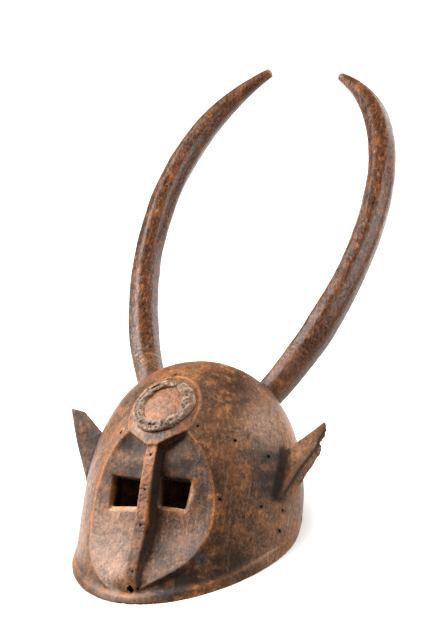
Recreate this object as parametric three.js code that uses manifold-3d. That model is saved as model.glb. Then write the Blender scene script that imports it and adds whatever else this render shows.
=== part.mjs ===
// Horned animal helmet mask, carved from one block of wood, standing on its rim.
// Millimetres, +Z up. The face looks towards -Y and +X is on the viewer's right.

import * as THREE from 'three';
import { mergeVertices } from 'three/addons/utils/BufferGeometryUtils.js';
import Module from 'manifold-3d';

// The model is laid out from the middle of the rim. The origin of the part is
// under the middle of its whole length, this far behind the rim's middle.
const originBehindRim = 177.5;

// Helmet: flat-bottomed dome, its crown behind the middle and leaning a little.
const helmetHeight = 183;
const crownBack = 73;
const crownLean = 8;
const rimLean = 1.8;
const rimHalfWidth = 134;
const rimFront = 155.5;
const rimBack = 107;
const rimMiddle = -21;
const middleDrift = 0.7;
const cornerPinch = 0.03;

// Its walls bulge between the rim and the crown: how far, and how high up.
const sideBulge = 144.5;
const sideBulgeLevel = 0.78;
const sideTopShare = 0.45;
const backBulge = 160;
const backBulgeLevel = 0.4;
const cheekFront = 105;
const cheekUp = 40;
const browFront = 48;

// Hollow for the head, open below. The face is left thick for the carving, and
// the chin thickest of all, which also balances the horns.
const sideWall = 17;
const backWall = 15;
const chinWall = 44;
const faceWall = 33;
const crownWall = 21;

// Raised band round the rim.
const bandHeight = 9.5;
const bandProudFront = 3.5;
const bandProudBack = 0.8;
const bandFootRound = 2;
const bandTopSlant = 2.5;
const bandTallerRight = 4;

// Sloping face. Face places are (across, up the slope from the chin).
const chinPoint = new THREE.Vector3(0, -145, 10);
const faceSlopeDeg = 51;
const leafTop = [[79, 88], [77, 116], [70, 140], [58, 162], [39, 182], [26, 196]];
const leafRight = [[2, -4], [12, 2], [37, 16], [59, 33], [73, 58], ...leafTop];
const leafLeft = [[10, -4], [31, 1], [48, 13], [63, 29], [75, 50], ...leafTop];
const leafDepthAtNose = [
  [0.5, -3], [2, 8], [4, 18], [8, 32], [12.5, 48], [15, 66], [15, 120], [12, 150], [9, 182], [8, 196],
];
const leafHollow = 1.5;

// Towards the chin the leaf stands out of the dome like a muzzle.
const muzzleRise = [[0, -4], [5, 3], [8.6, 13], [7.4, 34], [3.2, 53], [0.8, 70], [0, 85]];
const muzzleEdgeShare = 0.55;
const muzzleFoot = -3;
const muzzleTop = 85;
const muzzleRoot = 12;

// Nose bar and the forehead plate that it runs up into.
const noseBarWidthTop = 14;
const noseBarWidthChin = 15;
const noseBarAcrossTop = 0.8;
const noseBarAcrossChin = 1;
const noseBarFoot = 0;
const noseBarProud = 0.4;
const noseBarRoot = 30;
const plateHalfWidth = 45;
const plateCorner = 38.5;
const plateCornerUp = 181;
const plateMiddleUp = 208;
const plateTopUp = 250;
const plateTipUp = 163;
const plateProud = 1.8;

// Eyes right through the face, no two corners alike. Each is cut back at a slant
// over its depth: the sill most, and the right eye's outer jamb in a bulge.
const leftEye = {
  corners: [[-12.5, 97], [-55, 97.5], [-54, 131], [-12.5, 126]], bevel: 3, jamb: 3, sill: 6, depth: 4,
};
const rightEye = {
  corners: [[10, 99], [41, 95.5], [45.5, 126.5], [10, 129]], bevel: 4, jamb: 10, sill: 4, depth: 6,
};
const eyeTopShare = 0.4;

// The hole through the chin, a little left of the middle.
const chinHoleDiameter = 6.4;
const chinHoleAcross = 0.8;
const chinHoleHeight = 12;

// Horns: each a bent taper, rooted in the back of the dome, tips turned inwards.
const hornRoot = [61, 85, 117];
const hornRootLean = 3;
const hornLowPull = [152.5, 188, 185.5];
const hornHighPull = [208.5, 413, 336];
const hornTip = [50, 506, 393];
const hornTipUneven = [0, -2, -6];
const hornDiameters = [
  [33, 0], [36, 0.12], [38, 0.22], [35.5, 0.4], [34, 0.7],
  [32.5, 0.78], [28.5, 0.85], [21.5, 0.92], [11, 1],
];
const hornTipRound = 0.35;

// Ears: thick tapered boards, grooved along the outer face.
const rightEar = {
  low: [129.7, -17.4, 62.5],
  rootTop: [129.4, 22.2, 99],
  outerTip: [164, 64, 114.5],
  innerTip: [163, 64, 115.2],
  bow: 0,
};
const leftEar = {
  low: [-125, -2, 60],
  rootTop: [-117, 44, 102.5],
  outerTip: [-166, 60, 131],
  innerTip: [-148, 60, 126.5],
  bow: 2.5,
};
const earThicknessWayLow = [0.3, 0.3, -0.9];
const earThicknessWay = [0.27, 0.49, -0.82];
const earThickness = [
  [15, 0], [19, 0.2], [21.5, 0.62], [20.5, 0.75], [14, 0.81], [12.5, 0.9], [8.5, 0.95], [4, 1],
];
const earGroove = 4.5;
const earHollow = 1;
const earHollowShare = 0.5;
const earBuried = 12;
const earInnerTipThickness = 3;

// Ring of dried resin on the forehead plate.
const resinAcross = 32;
const resinAlong = 27;
const resinMiddle = [-1, 211];
const resinWidth = 15;
const resinHeight = 5.5;
const resinGap = 0.3;

const wood = new THREE.MeshStandardMaterial({ color: 0x5a3c28, roughness: 0.5, metalness: 0 });
const resin = new THREE.MeshStandardMaterial({ color: 0x776a5c, roughness: 0.7, metalness: 0 });

const wasm = await Module();
wasm.setup();

const vector = (place) => new THREE.Vector3(...place);
const lerp = THREE.MathUtils.lerp;

// Height of a curve given as [height, place] pairs, read along its second value.
function readAlong(pairs, place) {
  const last = pairs.length - 1;
  if (place <= pairs[0][1]) return pairs[0][0];
  if (place >= pairs[last][1]) return pairs[last][0];
  const i = pairs.findIndex((pair) => pair[1] > place) - 1;
  const [from, to] = [pairs[i], pairs[i + 1]];
  const [before, after] = [pairs[Math.max(i - 1, 0)], pairs[Math.min(i + 2, last)]];
  const span = to[1] - from[1];
  const slopeFrom = ((to[0] - before[0]) / (to[1] - before[1])) * span;
  const slopeTo = ((after[0] - from[0]) / (after[1] - from[1])) * span;
  const t = (place - from[1]) / span;
  return from[0] * (2 * t ** 3 - 3 * t ** 2 + 1) + slopeFrom * (t ** 3 - 2 * t ** 2 + t)
    + to[0] * (3 * t ** 2 - 2 * t ** 3) + slopeTo * (t ** 3 - t ** 2);
}

// A shell is a stack of flat ovals. Three curves give its reach to the side,
// the front and the back at each height.
function makeShell({ side, front, back, brow, top, grow = 0 }) {
  const height = top + grow;
  const bezier = (...places) => {
    const points = places.map((place) => new THREE.Vector2(...place));
    return new THREE.CubicBezierCurve(...points);
  };
  return {
    height,
    sideCurve: bezier(
      [0, side[0] + grow],
      [sideBulgeLevel * height, side[1] + grow],
      [height, sideTopShare * side[1]],
      [height, 0],
    ),
    frontCurve: bezier(
      [0, -front[0] - grow],
      [cheekUp, -front[1] - grow],
      [height, -brow - grow],
      [height, crownBack],
    ),
    backCurve: bezier(
      [0, back[0] + grow],
      [backBulgeLevel * height, back[1] + grow],
      [height, lerp(crownBack, back[1], 0.5) + grow],
      [height, crownBack],
    ),
  };
}

function reachAt(curve, z) {
  let low = 0;
  let high = 1;
  for (let step = 0; step < 26; step += 1) {
    const middle = (low + high) / 2;
    if (curve.getPoint(middle).x < z) low = middle;
    else high = middle;
  }
  return curve.getPoint(low).y;
}

function ovalAt(shell, z) {
  const level = THREE.MathUtils.clamp(z / shell.height, 0, 1);
  const middle = rimMiddle + (crownBack - rimMiddle) * level ** middleDrift;
  return {
    lean: lerp(rimLean, crownLean, level),
    middle,
    halfWidth: reachAt(shell.sideCurve, z),
    front: middle - reachAt(shell.frontCurve, z),
    back: reachAt(shell.backCurve, z) - middle,
  };
}

// The ovals are drawn in a little between their sides and ends.
const pinch = (turn) => 1 - cornerPinch * Math.sin(2 * turn) ** 2;

function ringOf(oval, z, sides, proudAt = () => 0) {
  return Array.from({ length: sides }, (_, i) => {
    const turn = (2 * Math.PI * (i + 0.5)) / sides;
    const proud = proudAt(-Math.sin(turn));
    const along = Math.sin(turn) * pinch(turn);
    const reach = along < 0 ? oval.front : oval.back;
    return new THREE.Vector3(oval.lean + (oval.halfWidth + proud) * Math.cos(turn) * pinch(turn),
      oval.middle + (reach + proud) * along, z);
  });
}

// One closed solid through a stack of rings, closed by a fan at each end.
function solidThrough(rings, firstPoint, lastPoint) {
  const sides = rings[0].length;
  const middleOf = (ring) => {
    const sum = ring.reduce((total, point) => total.add(point), new THREE.Vector3());
    return sum.divideScalar(ring.length);
  };
  const firstEnd = firstPoint ?? middleOf(rings[0]);
  const lastEnd = lastPoint ?? middleOf(rings[rings.length - 1]);
  const points = [...rings.flat(), firstEnd, lastEnd];
  const first = points.length - 2;
  const last = points.length - 1;
  const base = (rings.length - 1) * sides;
  const faces = [];
  for (let i = 0; i < sides; i += 1) {
    const next = (i + 1) % sides;
    for (let ring = 0; ring < rings.length - 1; ring += 1) {
      const [a, b] = [ring * sides + i, ring * sides + next];
      faces.push([a, b, b + sides], [a, b + sides, a + sides]);
    }
    faces.push([first, next, i], [last, base + i, base + next]);
  }
  return solidOf(points, faces);
}

function solidOf(points, faces) {
  const sixth = ([a, b, c]) => points[a].dot(points[b].clone().cross(points[c]));
  const volume = faces.reduce((sum, face) => sum + sixth(face) / 6, 0);
  const outward = volume > 0 ? faces : faces.map(([a, b, c]) => [a, c, b]);
  const geometry = new THREE.BufferGeometry();
  const numbers = points.flatMap((p) => p.toArray());
  geometry.setAttribute('position', new THREE.Float32BufferAttribute(numbers, 3));
  geometry.setIndex(outward.flat());
  const merged = mergeVertices(geometry, 1e-4);
  const vertProperties = merged.attributes.position.array;
  const triVerts = new Uint32Array(merged.index.array);
  return new wasm.Manifold(new wasm.Mesh({ numProp: 3, vertProperties, triVerts }));
}

// Levels crowd together towards the crown, where the dome turns over.
function solidOfShell(shell, sides, levels, bottom = 0) {
  const rings = bottom < 0 ? [ringOf(ovalAt(shell, 0), bottom, sides)] : [];
  for (let i = 0; i < levels; i += 1) {
    const z = shell.height * Math.sin((Math.PI / 2) * (i / levels));
    rings.push(ringOf(ovalAt(shell, z), z, sides));
  }
  return solidThrough(rings, undefined, new THREE.Vector3(crownLean, crownBack, shell.height));
}

const outerSides = {
  side: [rimHalfWidth, sideBulge],
  front: [rimFront, cheekFront],
  back: [rimBack, backBulge],
  brow: browFront,
  top: helmetHeight,
};
const outerShell = makeShell(outerSides);
const innerShell = makeShell({
  side: [rimHalfWidth - sideWall, sideBulge - sideWall],
  front: [rimFront - chinWall, cheekFront - faceWall],
  back: [rimBack - backWall, backBulge - backWall],
  brow: browFront - faceWall,
  top: helmetHeight - crownWall,
});
const raisedShell = (grow) => makeShell({ ...outerSides, grow });

// The sloping face frame: across, up the slope, and out of the face.
const slope = THREE.MathUtils.degToRad(faceSlopeDeg);
const upSlope = new THREE.Vector3(0, Math.cos(slope), Math.sin(slope));
const outOfFace = new THREE.Vector3(0, -Math.sin(slope), Math.cos(slope));

function facePoint(across, up, out) {
  const foot = chinPoint.clone().add(new THREE.Vector3(across, 0, 0));
  return foot.addScaledVector(upSlope, up).addScaledVector(outOfFace, out);
}

function isInside(shell, point) {
  if (point.z <= 0) {
    const across = (point.x - rimLean) / rimHalfWidth;
    const along = (point.y - rimMiddle) / (rimFront + rimMiddle);
    return Math.hypot(across, along) < 1;
  }
  if (point.z >= shell.height) return false;
  const oval = ovalAt(shell, point.z);
  const across = (point.x - oval.lean) / oval.halfWidth;
  const along = (point.y - oval.middle) / (point.y < oval.middle ? oval.front : oval.back);
  return Math.hypot(across, along) < pinch(Math.atan2(along, across));
}

// How far the dome's surface stands out of the face frame at one place.
function surfaceOut(across, up) {
  let low = -110;
  let high = 60;
  for (let step = 0; step < 22; step += 1) {
    const middle = (low + high) / 2;
    if (isInside(outerShell, facePoint(across, up, middle))) low = middle;
    else high = middle;
  }
  return low;
}

const noseOut = (up) => surfaceOut(0, up) + readAlong(muzzleRise, up);
const leafEdge = (side, up) => side * readAlong(side < 0 ? leafLeft : leafRight, up);
const leafEdgeOut = (side, up) => (
  surfaceOut(leafEdge(side, up), up) + muzzleEdgeShare * readAlong(muzzleRise, up));

// The leaf's floor runs from the foot of the nose bar (part 0) to the leaf's edge
// (part 1), hollowed a little between them.
function leafFloor(side, part, up) {
  const foot = noseOut(up) - readAlong(leafDepthAtNose, up);
  return lerp(foot, leafEdgeOut(side, up), part) - 4 * leafHollow * part * (1 - part);
}

// One closed block on the face frame, through cross-sections of (across, out).
function faceBlock(from, to, stations, sectionAt) {
  return solidThrough(Array.from({ length: stations }, (_, i) => {
    const up = lerp(from, to, i / (stations - 1));
    return sectionAt(up).map(([across, out]) => facePoint(across, up, out));
  }));
}

function muzzle() {
  return faceBlock(muzzleFoot, muzzleTop, 20, (up) => {
    const top = [-1, -0.75, -0.5, -0.25, 0, 0.25, 0.5, 0.75, 1].map((step) => {
      const share = lerp(1, muzzleEdgeShare, Math.abs(step));
      const across = Math.abs(step) * leafEdge(Math.sign(step || 1), up);
      return [across, surfaceOut(across, up) + share * readAlong(muzzleRise, up)];
    });
    const under = [1, -1].map((side) => [
      leafEdge(side, up) + 3 * side, leafEdgeOut(side, up) - muzzleRoot,
    ]);
    return [...top, ...under];
  });
}

function noseBar() {
  return faceBlock(noseBarFoot, plateTipUp + 8, 16, (up) => {
    const share = THREE.MathUtils.inverseLerp(noseBarFoot, plateTipUp, up);
    const across = lerp(noseBarAcrossChin, noseBarAcrossTop, share);
    const halfWidth = lerp(noseBarWidthChin, noseBarWidthTop, share) / 2;
    const [left, right, top] = [across - halfWidth, across + halfWidth, noseOut(up) + noseBarProud];
    return [[left, top - noseBarRoot], [left, top], [right, top], [right, top - noseBarRoot]];
  });
}

// The leaf-shaped face is what is left when all above its two floors is cut away.
function leafCutter() {
  const [first, last] = [leafRight[0][1], leafRight[leafRight.length - 1][1]];
  const stations = 26;
  const acrossSteps = [-1.12, -1, -0.8, -0.6, -0.4, -0.2, 0, 0.2, 0.4, 0.6, 0.8, 1, 1.12];
  const clearOut = 40;
  return faceBlock(first, last, stations, (up) => {
    const floor = acrossSteps.map((step) => {
      const [side, part] = [Math.sign(step || 1), Math.abs(step)];
      return [part * leafEdge(side, up), leafFloor(side, part, up)];
    });
    return [...floor, [floor[floor.length - 1][0], clearOut], [floor[0][0], clearOut]];
  });
}

// A prism over an outline on the face frame.
function facePrism(outline, from, to) {
  return solidThrough([from, to].map((out) => outline.map(([across, up]) => facePoint(across, up, out))));
}

function plateOutline() {
  const arc = (from, to, steps, radiusUp) => Array.from({ length: steps + 1 }, (_, i) => {
    const turn = lerp(from, to, i / steps);
    return [plateHalfWidth * Math.cos(turn), plateMiddleUp + radiusUp * Math.sin(turn)];
  });
  const fall = Math.acos(plateCorner / plateHalfWidth);
  const radiusDown = (plateMiddleUp - plateCornerUp) / Math.sin(fall);
  const radiusUp = plateTopUp - plateMiddleUp;
  return [
    [noseBarWidthTop / 2, plateTipUp],
    ...arc(-fall, 0, 3, radiusDown),
    ...arc(0, Math.PI, 20, radiusUp).slice(1, -1),
    ...arc(Math.PI, Math.PI + fall, 3, radiusDown),
    [-noseBarWidthTop / 2, plateTipUp],
  ];
}

// The band stands out at the front and dies away towards the sides.
function rimBand(sides) {
  const frontFrom = 0.1;
  const frontFull = 0.75;
  const buried = 3;
  const tallFrom = 0.55;
  const tallFull = 0.95;
  const proudAt = (frontness) => (
    lerp(bandProudBack, bandProudFront, THREE.MathUtils.smoothstep(frontness, frontFrom, frontFull)));
  const steps = [
    { z: 0, share: 0.75, inset: 0, taller: 0 },
    { z: bandFootRound, share: 1, inset: 0, taller: 0 },
    { z: bandHeight - bandTopSlant, share: 1, inset: 0, taller: bandTallerRight },
    { z: bandHeight, share: 0.2, inset: 0, taller: bandTallerRight },
    { z: bandHeight + 1, share: 0, inset: buried, taller: bandTallerRight },
  ];
  return solidThrough(steps.map(({ z, share, inset, taller }) => {
    const proud = (frontness) => share * proudAt(frontness) - inset;
    const [low, high] = [z, z + taller].map((level) => (
      ringOf(ovalAt(outerShell, level), level, sides, proud)));
    return low.map((point, i) => {
      const rightness = THREE.MathUtils.smoothstep(point.x / rimHalfWidth, tallFrom, tallFull);
      return point.lerp(high[i], rightness);
    });
  }));
}

// An eye goes straight in from the leaf's floor. Wide is 0 at the straight part,
// 1 at the floor, and more in front of it, where the cutter only clears air.
function eyeCutter({ corners, bevel, jamb, sill, depth }) {
  const side = Math.sign(corners[1][0]);
  const steps = 4;
  const outline = corners.flatMap(([across, up], i) => {
    const [nextAcross, nextUp] = corners[(i + 1) % corners.length];
    return Array.from({ length: steps }, (_, k) => {
      const t = k / steps;
      const outwards = [t, 1, 1 - t, 0][i];
      const upwards = [-1, lerp(-1, eyeTopShare, t), eyeTopShare, lerp(eyeTopShare, -1, t)][i];
      const bulge = i === 1 ? Math.sin(Math.PI * t) : 0;
      return {
        across: lerp(across, nextAcross, t),
        up: lerp(up, nextUp, t),
        acrossShift: side * (outwards * bevel + bulge * (jamb - bevel)),
        upShift: upwards * (upwards < 0 ? sill : bevel),
      };
    });
  });
  const opening = (out, wide) => outline.map((place) => {
    const across = place.across + wide * place.acrossShift;
    const up = place.up + wide * place.upShift;
    const part = THREE.MathUtils.clamp(across / leafEdge(side, up), 0, 1);
    return facePoint(across, up, leafFloor(side, part, up) + out);
  });
  const [clearOut, throughOut] = [20, -60];
  return solidThrough([opening(clearOut, 1 + clearOut / depth), opening(0, 1), opening(-depth, 0),
    opening(throughOut, 0)]);
}

function chinHole() {
  const sides = 10;
  const radius = chinHoleDiameter / 2;
  const ring = (out) => Array.from({ length: sides }, (_, i) => {
    const turn = (2 * Math.PI * i) / sides;
    const across = chinHoleAcross + radius * Math.cos(turn);
    return new THREE.Vector3(across, chinPoint.y - out, chinHoleHeight + radius * Math.sin(turn));
  });
  return solidThrough([ring(16), ring(-52)]);
}

// Rings square to a curve, carried along it without twisting.
function taperAlong(curve, steps, sides, radiusAt) {
  const frames = curve.computeFrenetFrames(steps, false);
  const rings = frames.tangents.map((_, i) => {
    const radius = radiusAt(i / steps);
    return Array.from({ length: sides }, (_unused, k) => {
      const turn = (2 * Math.PI * k) / sides;
      return curve.getPointAt(i / steps)
        .addScaledVector(frames.normals[i], radius * Math.cos(turn))
        .addScaledVector(frames.binormals[i], radius * Math.sin(turn));
    });
  });
  const tip = curve.getPointAt(1).addScaledVector(frames.tangents[steps], hornTipRound * radiusAt(1));
  return solidThrough(rings, undefined, tip);
}

function horn(side) {
  const onSide = ([x, y, z]) => new THREE.Vector3(side * x, y, z);
  const tip = onSide(hornTip).addScaledVector(vector(hornTipUneven), side);
  const root = onSide(hornRoot).add(new THREE.Vector3(hornRootLean, 0, 0));
  const curve = new THREE.CubicBezierCurve3(root, onSide(hornLowPull), onSide(hornHighPull), tip);
  return taperAlong(curve, 34, 12, (along) => readAlong(hornDiameters, along) / 2);
}

// An ear is lofted from its square-cut low end, lying on the dome, to its tip.
// Each section runs: front ridge, groove, back ridge, inner back, inner front,
// and the hollow of the front face.
function ear({ low, rootTop, outerTip, innerTip, bow }) {
  const [lowEnd, root, outer, inner] = [low, rootTop, outerTip, innerTip].map(vector);
  const side = Math.sign(lowEnd.x);
  const onSide = new THREE.Vector3(side, 1, 1);
  const thickLow = vector(earThicknessWayLow).normalize().multiply(onSide);
  const thickHigh = vector(earThicknessWay).normalize().multiply(onSide);
  const axis = outer.clone().sub(lowEnd).normalize();
  const inward = new THREE.Vector3(-side, 0, 0).addScaledVector(axis, side * axis.x).normalize();
  const rootShare = 0.5;
  const buriedLow = lowEnd.clone().addScaledVector(inward, earBuried);
  const buriedTop = inner.clone().lerp(root, 1.3);
  const sections = [0, 0.12, 0.25, 0.4, 0.5, 0.62, 0.75, 0.81, 0.9, 0.95, 1].map((along) => {
    const rooted = Math.min(1, along / rootShare);
    const free = Math.max(0, (along - rootShare) / (1 - rootShare));
    const swell = Math.sin(Math.PI * along);
    const thick = thickLow.clone().lerp(thickHigh, rooted);
    const thickness = readAlong(earThickness, along);
    const front = lowEnd.clone().lerp(outer, along).addScaledVector(inward, -bow * swell);
    const back = front.clone().addScaledVector(thick, thickness);
    const innerFront = buriedLow.clone().lerp(buriedTop, rooted).lerp(inner, free);
    const innerThickness = lerp(thickness, earInnerTipThickness, free);
    const innerBack = innerFront.clone().addScaledVector(thick, innerThickness);
    const grooveDepth = earGroove * Math.sin(Math.PI * Math.min(1, along + 0.1));
    const groove = front.clone().lerp(back, lerp(0.5, 0.6, along)).addScaledVector(inward, grooveDepth);
    const hollow = front.clone().lerp(innerFront, earHollowShare).addScaledVector(thick, earHollow * swell);
    return [front, groove, back, innerBack, innerFront, hollow];
  });
  return solidThrough(sections);
}

function carvedWood() {
  const sides = 60;
  const levels = 18;
  const dome = solidOfShell(outerShell, sides, levels);
  const raisedDome = solidOfShell(raisedShell(plateProud), sides, levels);
  const face = dome.add(muzzle()).add(rimBand(sides)).subtract(leafCutter());
  const plate = facePrism(plateOutline(), -60, 40).intersect(raisedDome);
  let carved = face.add(plate).add(noseBar());
  for (const piece of [horn(-1), horn(1), ear(leftEar), ear(rightEar)]) carved = carved.add(piece);
  carved = carved.subtract(solidOfShell(innerShell, 44, 13, -5));
  for (const eye of [leftEye, rightEye]) carved = carved.subtract(eyeCutter(eye));
  return carved.subtract(chinHole()).trimByPlane([0, 0, 1], 0);
}

// The resin lies on the plate as a lumpy ring, its underside shaped by the plate.
function resinRing() {
  const sides = 8;
  const turns = 36;
  const rings = Array.from({ length: turns }, (_, i) => {
    const turn = (2 * Math.PI * i) / turns;
    const lump = 1 + 0.1 * Math.sin(3 * turn + 0.6) + 0.07 * Math.sin(7 * turn + 2);
    const outward = [Math.cos(turn), Math.sin(turn)];
    return Array.from({ length: sides }, (_unused, k) => {
      const around = (2 * Math.PI * k) / sides;
      const spread = (resinWidth / 2) * lump * Math.cos(around);
      const across = resinMiddle[0] + outward[0] * (resinAcross + spread);
      const up = resinMiddle[1] + outward[1] * (resinAlong + 0.8 * spread);
      const lift = plateProud + resinHeight * lump * Math.sin(around);
      return facePoint(across, up, surfaceOut(across, up) + lift);
    });
  });
  const points = rings.flat();
  const faces = [];
  for (let i = 0; i < turns; i += 1) {
    for (let k = 0; k < sides; k += 1) {
      const [a, b] = [i * sides + k, i * sides + ((k + 1) % sides)];
      const [c, d] = [((i + 1) % turns) * sides + k, ((i + 1) % turns) * sides + ((k + 1) % sides)];
      faces.push([a, b, d], [a, d, c]);
    }
  }
  return solidOf(points, faces).subtract(solidOfShell(raisedShell(plateProud + resinGap), 60, 18));
}

function meshOf(name, solid, material) {
  const { vertProperties, triVerts } = solid.getMesh();
  const geometry = new THREE.BufferGeometry();
  geometry.setAttribute('position', new THREE.BufferAttribute(new Float32Array(vertProperties), 3));
  geometry.setIndex(new THREE.BufferAttribute(new Uint32Array(triVerts), 1));
  geometry.computeVertexNormals();
  const mesh = new THREE.Mesh(geometry, material);
  mesh.name = name;
  return mesh;
}

const mask = new THREE.Group();
mask.name = 'animal_helmet_mask';
mask.position.y = -originBehindRim;
mask.add(meshOf('carved_mask', carvedWood(), wood));
mask.add(meshOf('forehead_resin_ring', resinRing(), resin));

export default mask;
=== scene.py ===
import math

import bpy
import numpy as np
from mathutils import Matrix, Vector


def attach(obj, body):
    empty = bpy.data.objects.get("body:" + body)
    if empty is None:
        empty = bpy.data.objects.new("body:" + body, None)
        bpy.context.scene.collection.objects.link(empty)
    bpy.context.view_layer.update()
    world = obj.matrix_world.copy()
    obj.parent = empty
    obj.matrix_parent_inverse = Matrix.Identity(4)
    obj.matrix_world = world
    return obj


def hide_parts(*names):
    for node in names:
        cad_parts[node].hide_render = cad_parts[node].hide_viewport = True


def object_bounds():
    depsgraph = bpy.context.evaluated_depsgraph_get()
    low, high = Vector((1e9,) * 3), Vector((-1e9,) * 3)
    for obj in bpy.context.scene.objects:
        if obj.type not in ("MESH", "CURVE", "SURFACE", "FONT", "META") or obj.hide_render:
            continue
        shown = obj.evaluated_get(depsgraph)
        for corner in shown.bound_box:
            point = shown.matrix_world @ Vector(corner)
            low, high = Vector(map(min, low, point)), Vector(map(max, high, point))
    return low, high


# An old helmet mask of an animal, carved from one block of wood, with a ring of
# dried resin on its forehead. Shapes are worked out in millimetres round the
# middle of the rim, and moved into the row frame when a mesh is made.

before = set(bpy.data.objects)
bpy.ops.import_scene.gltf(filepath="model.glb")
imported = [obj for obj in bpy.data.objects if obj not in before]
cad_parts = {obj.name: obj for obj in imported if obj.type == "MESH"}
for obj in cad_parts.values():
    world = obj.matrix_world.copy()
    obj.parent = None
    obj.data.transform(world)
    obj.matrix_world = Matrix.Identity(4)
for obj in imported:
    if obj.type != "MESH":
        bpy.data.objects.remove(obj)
cadLow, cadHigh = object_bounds()

helmet = dict(
    originBehindRim=177.5,
    height=183, crownBack=73, crownLean=8, rimLean=1.8,
    rimHalfWidth=134, rimFront=155.5, rimBack=107, rimMiddle=-21,
    sideBulge=144.5, backBulge=160, browFront=48, cheekFront=105,
    bulgeAt=0.78, shoulder=0.45, cheekAt=40, backBulgeAt=0.4,     # where the curves swell and turn in
    cornerPinch=0.03, middleDrift=0.7,
    sides=300, levels=120, curveSteps=4000,
)

hollow = dict(sideWall=17, backWall=15, chinWall=44, faceWall=33, crownWall=21)

rimBand = dict(
    edge=[[7.4, -134], [6.8, -60], [6.6, 8], [8.2, 26], [8.6, 90], [12.5, 130]],     # height, across
    proudFront=3.5, proudBack=0.8, fade=(0.1, 0.75), slant=1.3, chinLedge=2.2, chinLedgeWidth=13,
)


def smoothStep(x, low, high):
    t = np.clip((x - low) / (high - low), 0, 1)
    return t * t * (3 - 2 * t)


def fadeOut(x, low, high):
    return 1 - smoothStep(x, low, high)


def unit(ways):
    return ways / (np.linalg.norm(ways) if ways.ndim == 1 else np.linalg.norm(ways, axis=1)[:, None])


def readAlong(pairs, place):  # smooth curve through (value, place) pairs
    value, at = np.array(pairs, float).T
    place = np.clip(place, at[0], at[-1])
    i = np.clip(np.searchsorted(at, place, "right") - 1, 0, len(at) - 2)
    before, after = np.maximum(i - 1, 0), np.minimum(i + 2, len(at) - 1)
    span = at[i + 1] - at[i]
    slopeFrom = (value[i + 1] - value[before]) / (at[i + 1] - at[before]) * span
    slopeTo = (value[after] - value[i]) / (at[after] - at[i]) * span
    t = (place - at[i]) / span
    return (value[i] * (2 * t**3 - 3 * t**2 + 1) + slopeFrom * (t**3 - 2 * t**2 + t)
            + value[i + 1] * (3 * t**2 - 2 * t**3) + slopeTo * (t**3 - t**2))


def circle(count, start=0):
    return 2 * np.pi * (np.arange(count) + start) / count


def bezier(points, steps):
    t = np.linspace(0, 1, steps)[:, None]
    a, b, c, d = np.array(points, float)
    return a * (1 - t)**3 + 3 * b * t * (1 - t)**2 + 3 * c * t**2 * (1 - t) + d * t**3


# Noise that is smooth over a length in mm, the same at every run.
def noiseAt(points, size, seed):
    cells = 32
    lattice = np.random.default_rng(seed).uniform(-1, 1, (cells, cells, cells))
    p = np.asarray(points, float) / size + 1000
    base = np.floor(p).astype(int)
    t = p - base
    t = t * t * (3 - 2 * t)
    total = 0
    for corner in range(8):
        step = np.array([corner & 1, corner >> 1 & 1, corner >> 2 & 1])
        share = np.prod(np.where(step, t, 1 - t), axis=-1)
        total = total + share * lattice[tuple(((base + step) % cells)[..., k] for k in range(3))]
    return total


def makeShell(side, front, back, brow, top, grow=0):
    height = top + grow
    crown, steps = helmet["crownBack"], helmet["curveSteps"]
    return dict(
        height=height,
        side=bezier([[0, side[0] + grow], [helmet["bulgeAt"] * height, side[1] + grow],
                     [height, helmet["shoulder"] * side[1]], [height, 0]], steps),
        front=bezier([[0, -front[0] - grow], [helmet["cheekAt"], -front[1] - grow], [height, -brow - grow],
                      [height, crown]], steps),
        back=bezier([[0, back[0] + grow], [helmet["backBulgeAt"] * height, back[1] + grow],
                     [height, (crown + back[1]) / 2 + grow], [height, crown]], steps))


def ovalAt(shell, z):
    level = np.clip(z / shell["height"], 0, 1)
    middle = helmet["rimMiddle"] + (helmet["crownBack"] - helmet["rimMiddle"]) * level**helmet["middleDrift"]
    reach = {way: np.interp(z, *shell[way].T) for way in ("side", "front", "back")}
    lean = helmet["rimLean"] + (helmet["crownLean"] - helmet["rimLean"]) * level
    return lean, middle, reach["side"], middle - reach["front"], reach["back"] - middle


def ringsOf(shell, z, sides, proud=0):  # z and proud may differ from ring to ring and round a ring
    turn = circle(sides, 0.5)
    z = np.reshape(z, (len(z), -1))
    lean, middle, half, front, back = ovalAt(shell, np.maximum(z, 0))
    pinch = 1 - helmet["cornerPinch"] * np.sin(2 * turn)**2
    along = np.sin(turn) * pinch
    reach = np.where(along < 0, front, back)
    x = lean + (half + proud) * np.cos(turn) * pinch
    y = middle + (reach + proud) * along
    return np.stack([x, y, np.broadcast_to(z, x.shape)], -1)


def isInside(shell, points):
    x, y, z = np.moveaxis(points, -1, 0)
    lean, middle, half, front, back = ovalAt(shell, z)
    across = (x - lean) / half
    along = (y - middle) / np.where(y < middle, front, back)
    turn = np.arctan2(along, across)
    inside = np.hypot(across, along) < 1 - helmet["cornerPinch"] * np.sin(2 * turn)**2
    return inside & (z < shell["height"])


outerSides = dict(side=(helmet["rimHalfWidth"], helmet["sideBulge"]),
                  front=(helmet["rimFront"], helmet["cheekFront"]),
                  back=(helmet["rimBack"], helmet["backBulge"]), brow=helmet["browFront"])
outerShell = makeShell(**outerSides, top=helmet["height"])
innerShell = makeShell(
    side=(helmet["rimHalfWidth"] - hollow["sideWall"], helmet["sideBulge"] - hollow["sideWall"]),
    front=(helmet["rimFront"] - hollow["chinWall"], helmet["cheekFront"] - hollow["faceWall"]),
    back=(helmet["rimBack"] - hollow["backWall"], helmet["backBulge"] - hollow["backWall"]),
    brow=helmet["browFront"] - hollow["faceWall"], top=helmet["height"] - hollow["crownWall"])

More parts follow.
